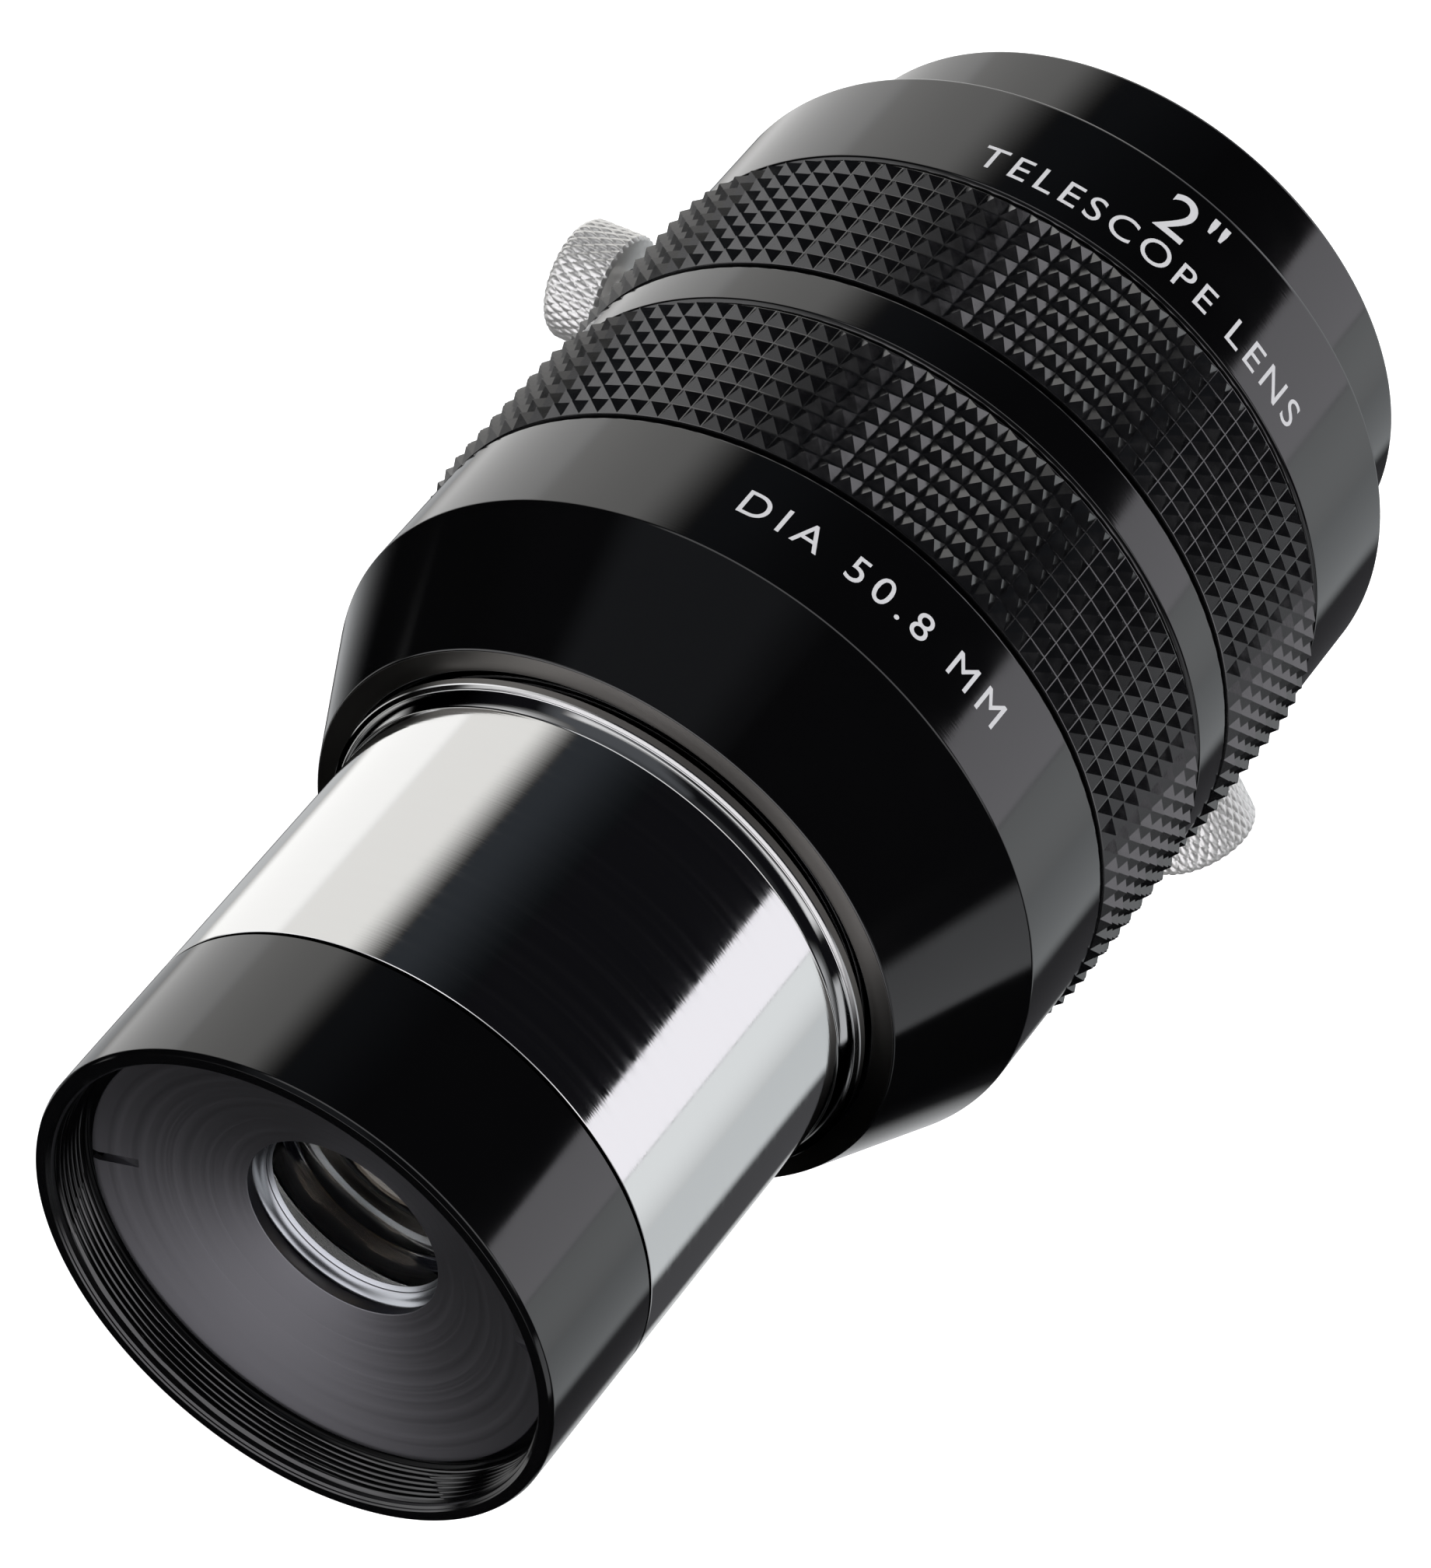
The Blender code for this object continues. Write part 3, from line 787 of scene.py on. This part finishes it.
def add_marking(name, words, height, station, angle, spacing):
    """Filled lettering in the barrel's skin. Its tops point to the rear."""
    skin = reach("eyepiece_collar").outer
    curve = bpy.data.curves.new(name, "FONT")
    curve.body = words
    curve.align_x = "CENTER"
    curve.size = height / CAP_HEIGHT
    curve.space_character = spacing
    curve.extrude = LETTER_DEPTH
    writing = bpy.data.objects.new(name, curve)
    bpy.context.scene.collection.objects.link(writing)
    bpy.context.view_layer.update()
    mesh = bpy.data.meshes.new_from_object(writing.evaluated_get(bpy.context.evaluated_depsgraph_get()))
    bpy.data.objects.remove(writing)
    work = bmesh.new()
    work.from_mesh(mesh)
    bmesh.ops.remove_doubles(work, verts=work.verts, dist=LETTER_MERGE)
    reach_x = max(abs(vertex.co.x) for vertex in work.verts)
    for place in np.arange(-reach_x, reach_x, LETTER_SLICE):
        geometry = work.verts[:] + work.edges[:] + work.faces[:]
        bmesh.ops.bisect_plane(work, geom=geometry, plane_co=(place, 0, 0), plane_no=(1, 0, 0))
    for vertex in work.verts:
        turn = angle + vertex.co.x / skin
        radius = skin - LETTER_SUNK + vertex.co.z
        vertex.co = AXIS @ (polar(radius, turn, station + vertex.co.y) * MM)
    work.to_mesh(mesh)
    work.free()
    finished(name, mesh, "engraving", "barrel", [])


# Finishes. Noise stays mostly between these two values.

NOISE_LOW = 0.35
NOISE_HIGH = 0.65
COATING_INDEX = 1.38


def new_finish(name, colour, roughness, metallic=0.0, **sockets):
    """A material with the given colour and constants on its shader."""
    material = bpy.data.materials.new(name)
    material.use_nodes = True
    shader = material.node_tree.nodes["Principled BSDF"]
    shader.inputs["Base Color"].default_value = (*colour, 1.0)
    shader.inputs["Roughness"].default_value = roughness
    shader.inputs["Metallic"].default_value = metallic
    for socket, value in sockets.items():
        shader.inputs[socket.replace("_", " ")].default_value = value
    return material


def add_node(material, kind, **settings):
    node = material.node_tree.nodes.new(kind)
    for setting, value in settings.items():
        setattr(node, setting, value)
    return node


def math_node(material, operation, first, second=None):
    """Output of a math node on two values, each a number or another node's output."""
    node = add_node(material, "ShaderNodeMath", operation=operation)
    for socket, value in zip(node.inputs, (first, second)):
        if isinstance(value, bpy.types.NodeSocket):
            material.node_tree.links.new(value, socket)
        elif value is not None:
            socket.default_value = value
    return node.outputs[0]


def turning_height(material, spacing, detail):
    """Height that changes only along and outwards from the optical axis, as a lathe leaves it."""
    links = material.node_tree.links
    place = add_node(material, "ShaderNodeTexCoord")
    split = add_node(material, "ShaderNodeSeparateXYZ")
    links.new(place.outputs["Object"], split.inputs[0])
    rise = math_node(material, "SUBTRACT", split.outputs["Z"], AXIS.translation.z)
    across = math_node(material, "MULTIPLY", split.outputs["X"], split.outputs["X"])
    upward = math_node(material, "MULTIPLY", rise, rise)
    radius = math_node(material, "SQRT", math_node(material, "ADD", across, upward))
    travel = math_node(material, "ADD", radius, split.outputs["Y"])
    noise = add_node(material, "ShaderNodeTexNoise", noise_dimensions="1D")
    links.new(math_node(material, "DIVIDE", travel, spacing * MM), noise.inputs["W"])
    noise.inputs["Scale"].default_value = 1.0
    noise.inputs["Detail"].default_value = detail
    return noise.outputs["Fac"]


def grain(material, size, detail=2.0):
    """Soft noise with a grain of the given size in millimetres."""
    place = add_node(material, "ShaderNodeTexCoord")
    noise = add_node(material, "ShaderNodeTexNoise")
    noise.inputs["Scale"].default_value = 1.0 / (size * MM)
    noise.inputs["Detail"].default_value = detail
    material.node_tree.links.new(place.outputs["Object"], noise.inputs["Vector"])
    return noise.outputs["Fac"]


def bumped(material, height, depth):
    """Adds a bump, up to depth millimetres deep, to those that the material has."""
    bump = add_node(material, "ShaderNodeBump")
    bump.inputs["Strength"].default_value = 1.0
    bump.inputs["Distance"].default_value = depth * MM
    shader = material.node_tree.nodes["Principled BSDF"]
    links = material.node_tree.links
    links.new(height, bump.inputs["Height"])
    if shader.inputs["Normal"].links:
        links.new(shader.inputs["Normal"].links[0].from_socket, bump.inputs["Normal"])
    links.new(bump.outputs["Normal"], shader.inputs["Normal"])


def varied(material, socket, factor, low, high):
    """Runs a socket of the shader from low to high over the middle of a noise's values."""
    spread = add_node(material, "ShaderNodeMapRange")
    spread.inputs["From Min"].default_value = NOISE_LOW
    spread.inputs["From Max"].default_value = NOISE_HIGH
    spread.inputs["To Min"].default_value = low
    spread.inputs["To Max"].default_value = high
    shader = material.node_tree.nodes["Principled BSDF"]
    material.node_tree.links.new(factor, spread.inputs["Value"])
    material.node_tree.links.new(spread.outputs["Result"], shader.inputs[socket])


def black_anodised():
    finish = new_finish("black_anodised", (0.0018, 0.0018, 0.002), roughness=0.08, IOR=1.7)
    varied(finish, "Roughness", grain(finish, size=9.0), low=0.06, high=0.1)
    bumped(finish, turning_height(finish, spacing=0.18, detail=3.0), depth=0.0012)
    bumped(finish, grain(finish, size=0.12), depth=0.0006)
    return finish


def matt_black():
    finish = new_finish("matt_black", (0.009, 0.009, 0.01), roughness=0.45, IOR=1.6)
    varied(finish, "Roughness", turning_height(finish, spacing=0.5, detail=2.0), low=0.4, high=0.5)
    bumped(finish, turning_height(finish, spacing=0.35, detail=3.0), depth=0.0006)
    bumped(finish, grain(finish, size=0.1), depth=0.003)
    return finish


def turned_black():
    """Dull black coating on turned metal, which still shows a soft sheen."""
    finish = new_finish("turned_black", (0.17, 0.168, 0.18), roughness=0.36, metallic=0.95)
    varied(finish, "Roughness", turning_height(finish, spacing=0.5, detail=2.0), low=0.33, high=0.39)
    bumped(finish, turning_height(finish, spacing=0.35, detail=3.0), depth=0.0005)
    bumped(finish, grain(finish, size=0.1), depth=0.002)
    return finish


def faced_black():
    """Black anodised face whose turned circles draw a highlight out into a streak."""
    streak = {"Anisotropic": 0.96, "Anisotropic_Rotation": 0.25}
    finish = new_finish("faced_black", (0.17, 0.163, 0.152), roughness=0.3, metallic=1.0, **streak)
    tangent = add_node(finish, "ShaderNodeTangent", direction_type="RADIAL", axis="Y")
    shader = finish.node_tree.nodes["Principled BSDF"]
    finish.node_tree.links.new(tangent.outputs["Tangent"], shader.inputs["Tangent"])
    bumped(finish, turning_height(finish, spacing=0.2, detail=2.0), depth=0.0008)
    return finish


def chrome():
    finish = new_finish("chrome", (0.7, 0.7, 0.695), roughness=0.06, metallic=1.0)
    varied(finish, "Roughness", turning_height(finish, spacing=0.9, detail=2.0), low=0.045, high=0.09)
    bumped(finish, turning_height(finish, spacing=0.22, detail=2.0), depth=0.0016)
    return finish


def stainless():
    finish = new_finish("stainless", (0.76, 0.755, 0.74), roughness=0.3, metallic=0.75)
    varied(finish, "Roughness", grain(finish, size=0.8), low=0.28, high=0.38)
    bumped(finish, grain(finish, size=0.08), depth=0.003)
    return finish


def bare_edge():
    """Bare aluminium of a bevelled edge, fine turned."""
    finish = new_finish("bare_edge", (0.44, 0.455, 0.48), roughness=0.28, metallic=1.0)
    varied(finish, "Roughness", turning_height(finish, spacing=0.2, detail=2.0), low=0.24, high=0.36)
    bumped(finish, turning_height(finish, spacing=0.12, detail=2.0), depth=0.002)
    return finish


def brass():
    finish = new_finish("brass", (0.78, 0.57, 0.24), roughness=0.28, metallic=1.0)
    varied(finish, "Roughness", grain(finish, size=2.0), low=0.26, high=0.34)
    bumped(finish, turning_height(finish, spacing=0.25, detail=3.0), depth=0.0008)
    return finish


def rubber():
    finish = new_finish("rubber", (0.003, 0.003, 0.0034), roughness=0.15, IOR=1.9)
    varied(finish, "Roughness", grain(finish, size=1.5), low=0.11, high=0.19)
    bumped(finish, grain(finish, size=0.15), depth=0.0015)
    return finish


def glass(name, coating_nm):
    """Clear lens glass with an anti-reflection coating of the given thickness."""
    finish = new_finish(name, (1.0, 1.0, 1.0), roughness=0.0, Transmission_Weight=1.0, IOR=1.52)
    shader = finish.node_tree.nodes["Principled BSDF"]
    shader.inputs["Thin Film Thickness"].default_value = coating_nm
    shader.inputs["Thin Film IOR"].default_value = COATING_INDEX
    return finish


def engraving():
    finish = new_finish("engraving", (0.62, 0.62, 0.635), roughness=0.55)
    varied(finish, "Roughness", grain(finish, size=0.3), low=0.45, high=0.65)
    bumped(finish, grain(finish, size=0.09), depth=0.012)
    return finish


FINISHES = {
    "black_anodised": black_anodised(),
    "matt_black": matt_black(),
    "turned_black": turned_black(),
    "faced_black": faced_black(),
    "chrome": chrome(),
    "stainless": stainless(),
    "bare_edge": bare_edge(),
    "brass": brass(),
    "rubber": rubber(),
    "glass": glass("glass", coating_nm=0.0),
    "coated_glass": glass("coated_glass", coating_nm=130.0),
    "engraving": engraving(),
}


def add_markings():
    """Three lines of plain lettering over the top of the barrel, a little to its left."""
    collar = collar_front()
    grip = reach("front_grip_ring").front
    lines = {
        "marking_name": ("TELESCOPE LENS", 3.0, collar + 2.5, -2.4, 1.26),
        "marking_size": ('2"', 5.3, collar + 6.4, -2.0, 1.1),
        "marking_diameter": ("DIA 50.8 MM", 3.0, grip - 7.5, -2.0, 1.35),
    }
    for name, (words, height, station, degrees, spacing) in lines.items():
        add_marking(name, words, height, station, math.radians(degrees), spacing)


def collar_front():
    """Station of the collar's visible front edge."""
    corners = node_outline("eyepiece_collar")
    chamfer_foot = reach("eyepiece_collar").outer - COLLAR_CHAMFER
    return min(station for radius, station in corners if radius > chamfer_foot)


# Studio.

def add_floor():
    """Pale floor and a pale wall round it, which the shiny barrel doesn't mirror."""
    half = FLOOR_HALF
    corners = [(-half, -half, 0.0), (half, -half, 0.0), (half, half, 0.0), (-half, half, 0.0)]
    mesh = bpy.data.meshes.new("floor")
    mesh.from_pydata(corners, [], [(0, 1, 2, 3)])
    floor = bpy.data.objects.new("floor", mesh)
    bpy.context.scene.collection.objects.link(floor)
    white = new_finish("floor_white", (0.8, 0.8, 0.8), roughness=0.9)
    shader = white.node_tree.nodes["Principled BSDF"]
    shader.inputs["Emission Color"].default_value = (1.0, 1.0, 1.0, 1.0)
    shader.inputs["Emission Strength"].default_value = FLOOR_GLOW
    mesh.materials.append(white)
    floor.visible_glossy = False
    work = bmesh.new()
    radii = {"radius1": WALL_RADIUS, "radius2": WALL_RADIUS}
    bmesh.ops.create_cone(work, segments=WALL_STEPS, depth=WALL_HEIGHT, **radii)
    mesh = bpy.data.meshes.new("backdrop")
    work.to_mesh(mesh)
    work.free()
    mesh.materials.append(white)
    wall = bpy.data.objects.new("backdrop", mesh)
    wall.location.z = 0.5 * WALL_HEIGHT - WALL_FOOT
    bpy.context.scene.collection.objects.link(wall)
    wall.visible_glossy = False
    wall.visible_diffuse = False
    wall.visible_shadow = False


def add_camera():
    """Camera above and in front of the nose, rolled so that the barrel lies across the picture."""
    camera_data = bpy.data.cameras.new("camera")
    camera_data.lens = CAMERA_LENS
    camera_data.sensor_width = CAMERA_SENSOR
    camera_data.clip_start = CAMERA_CLIP * MM
    camera = bpy.data.objects.new("camera", camera_data)
    bpy.context.scene.collection.objects.link(camera)
    low, high = cad_box
    target = Vector((0.0, 0.5 * (low[1] + high[1]) + CAMERA_AIM * MM, AXIS.translation.z))
    forward = Vector(
        (
            math.sin(CAMERA_AZIMUTH) * math.cos(CAMERA_PITCH),
            math.cos(CAMERA_AZIMUTH) * math.cos(CAMERA_PITCH),
            -math.sin(CAMERA_PITCH),
        )
    )
    level = forward.cross(Vector((0.0, 0.0, 1.0))).normalized()
    upright = level.cross(forward)
    right = level * math.cos(CAMERA_ROLL) + upright * math.sin(CAMERA_ROLL)
    up = right.cross(forward)
    turn = Matrix((right, up, -forward)).transposed().to_4x4()
    camera.matrix_world = Matrix.Translation(target - forward * CAMERA_DISTANCE * MM) @ turn
    bpy.context.scene.camera = camera


# Soft panels round the object. Each has a colour and, for the parts X, Y and Z of the direction in
# which it is seen, where it fades in and where it fades out again.
EVERYWHERE = (-2.0, -1.9, 1.9, 2.0)
TO_THE_RIGHT = (0.05, 0.15, 1.9, 2.0)
TO_THE_LEFT = (-2.0, -1.9, -0.15, -0.05)
BEHIND = (0.30, 0.52, 1.9, 2.0)
BESIDE = (-0.08, -0.03, 0.12, 0.16)
IN_FRONT = (-2.0, -1.9, -0.8, -0.6)
PANELS = (
    # Right of the object and behind it: a bright panel with softer ones below it.
    ((1.19, 1.17, 1.24), TO_THE_RIGHT, BEHIND, (0.25, 0.27, 0.60, 0.615)),
    ((0.95, 0.98, 1.00), TO_THE_RIGHT, BEHIND, (-0.60, 0.15, 0.25, 0.27)),
    ((0.68, 0.71, 0.73), TO_THE_RIGHT, BEHIND, (-0.52, -0.42, 0.25, 0.27)),
    # Lower on the right: almost dark, then a paler strip.
    ((0.07, 0.07, 0.075), TO_THE_RIGHT, BEHIND, (-1.2, -1.1, -0.45, -0.40)),
    ((0.62, 0.63, 0.64), TO_THE_RIGHT, BEHIND, (-1.2, -1.1, -0.80, -0.74)),
    # Straight to the right, for the edge of the conical shoulder.
    ((0.55, 0.56, 0.58), TO_THE_RIGHT, BESIDE, (-0.25, -0.20, 0.15, 0.25)),
    # Left of the object and behind it: a bright low panel in a wider one.
    ((1.25, 1.245, 1.235), TO_THE_LEFT, BEHIND, (-0.80, -0.68, -0.28, 0.0)),
    ((1.02, 1.01, 0.99), TO_THE_LEFT, BEHIND, (-0.80, -0.70, 0.2, 0.46)),
    # Lower on the left.
    ((0.55, 0.56, 0.57), TO_THE_LEFT, BEHIND, (-1.2, -1.1, -0.7, -0.6)),
    # Faint sheen on the left, behind the object and over the conical shoulder.
    ((0.03, 0.034, 0.04), TO_THE_LEFT, BEHIND, (-0.2, 0.0, 0.50, 0.85)),
    ((0.09, 0.095, 0.105), TO_THE_LEFT, (-0.6, -0.3, 0.1, 0.35), (0.3, 0.5, 0.9, 1.0)),
    # In front, to the left and to the right, for the sides of the grips' pyramids.
    ((1.25, 1.25, 1.27), (-2.0, -1.9, -0.7, -0.45), (-2.0, -1.9, -0.3, -0.1), (-0.6, -0.45, -0.2, 0.7)),
    ((0.65, 0.65, 0.65), (-2.0, -1.9, -0.45, -0.2), (-0.45, -0.25, 0.15, 0.2), (-2.0, -1.9, -0.65, -0.5)),
    ((0.5, 0.51, 0.53), (0.7, 0.88, 1.9, 2.0), (-2.0, -1.9, -0.3, -0.05), (-0.75, -0.5, 0.25, 0.5)),
    # In front: a bright panel level with the object, with dim ones round it.
    ((1.5, 1.48, 1.54), EVERYWHERE, IN_FRONT, (-0.62, -0.25, 0.45, 0.65)),
    ((0.03, 0.031, 0.034), EVERYWHERE, (-2.0, -1.9, -0.42, -0.25), (-0.5, 0.0, 1.1, 1.2)),
    ((0.06, 0.06, 0.06), EVERYWHERE, IN_FRONT, (-1.2, -1.1, -0.3, 0.0)),
    # Overhead and behind, for the top and rear views.
    ((0.9, 0.9, 0.92), EVERYWHERE, (-0.05, 0.03, 0.32, 0.4), (0.45, 0.62, 1.9, 2.0)),
    ((0.5, 0.5, 0.52), EVERYWHERE, (0.72, 0.85, 1.9, 2.0), (-0.5, -0.3, 0.4, 0.6)),
    # The dark room.
    ((0.006, 0.006, 0.0075), EVERYWHERE, EVERYWHERE, (-0.2, 0.2, 1.1, 1.2)),
)


def world_step(world, value, start, end):
    """0 before start and 1 past end, smoothly, for one part of the direction."""
    spread = add_node(world, "ShaderNodeMapRange", interpolation_type="SMOOTHSTEP")
    spread.inputs["From Min"].default_value = start
    spread.inputs["From Max"].default_value = end
    world.node_tree.links.new(value, spread.inputs["Value"])
    return spread.outputs["Result"]


def panel_mask(world, parts, ranges):
    """1 inside a panel and 0 outside it."""
    mask = None
    for part, (fade_in, full, full_end, fade_out) in zip(parts, ranges):
        for start, end in ((fade_in, full), (fade_out, full_end)):
            step = world_step(world, part, start, end)
            mask = step if mask is None else math_node(world, "MULTIPLY", mask, step)
    return mask


def add_studio():
    """Dark room with soft panels round the object and a soft light overhead."""
    world = bpy.data.worlds.new("studio")
    world.use_nodes = True
    bpy.context.scene.world = world
    links = world.node_tree.links
    place = add_node(world, "ShaderNodeTexCoord")
    split = add_node(world, "ShaderNodeSeparateXYZ")
    links.new(place.outputs["Generated"], split.inputs[0])
    total = None
    for colour, *ranges in PANELS:
        tone = add_node(world, "ShaderNodeVectorMath", operation="SCALE")
        tone.inputs[0].default_value = colour
        links.new(panel_mask(world, split.outputs, ranges), tone.inputs["Scale"])
        if total is None:
            total = tone.outputs[0]
        else:
            brighter = add_node(world, "ShaderNodeVectorMath", operation="MAXIMUM")
            links.new(total, brighter.inputs[0])
            links.new(tone.outputs[0], brighter.inputs[1])
            total = brighter.outputs[0]
    links.new(total, world.node_tree.nodes["Background"].inputs["Color"])
    lamp_data = bpy.data.lights.new("overhead", "AREA")
    lamp_data.size = LAMP_SIZE
    lamp_data.energy = LAMP_POWER
    lamp = bpy.data.objects.new("overhead", lamp_data)
    lamp.location.z = LAMP_HEIGHT
    lamp.visible_glossy = False
    bpy.context.scene.collection.objects.link(lamp)


def add_object():
    """Every piece, from the nose to the eyepiece socket, then the thumbscrews and the lettering."""
    add_nose_ring()
    add_front_baffle()
    add_front_retainer()
    add_inner_edges()
    plain("front_lens_cell", "matt_black")
    add_lens("front_crown_lens", "coated_glass")
    add_lens("front_flint_lens", "glass")
    add_tube()
    plain("nose_glare_ring", "matt_black")
    add_front_barrel()
    add_grip("front_grip_ring")
    plain("middle_barrel", "black_anodised", edge=BARREL_EDGE)
    add_grip("rear_grip_ring")
    plain("rear_lens_cell", "matt_black")
    add_lens("rear_crown_lens", "glass")
    add_lens("rear_flint_lens", "coated_glass")
    plain("rear_lens_retainer", "matt_black")
    plain("socket_stop_ring", "matt_black")
    add_collar()
    plain("rear_cap_ring", "black_anodised", edge=RING_EDGE)
    add_compression_ring()
    for side, place in SCREWS.items():
        add_stud(side, place)
        add_head(side, place)
    add_markings()


add_object()
add_floor()
add_camera()
add_studio()
bpy.context.scene.view_settings.view_transform = "Standard"
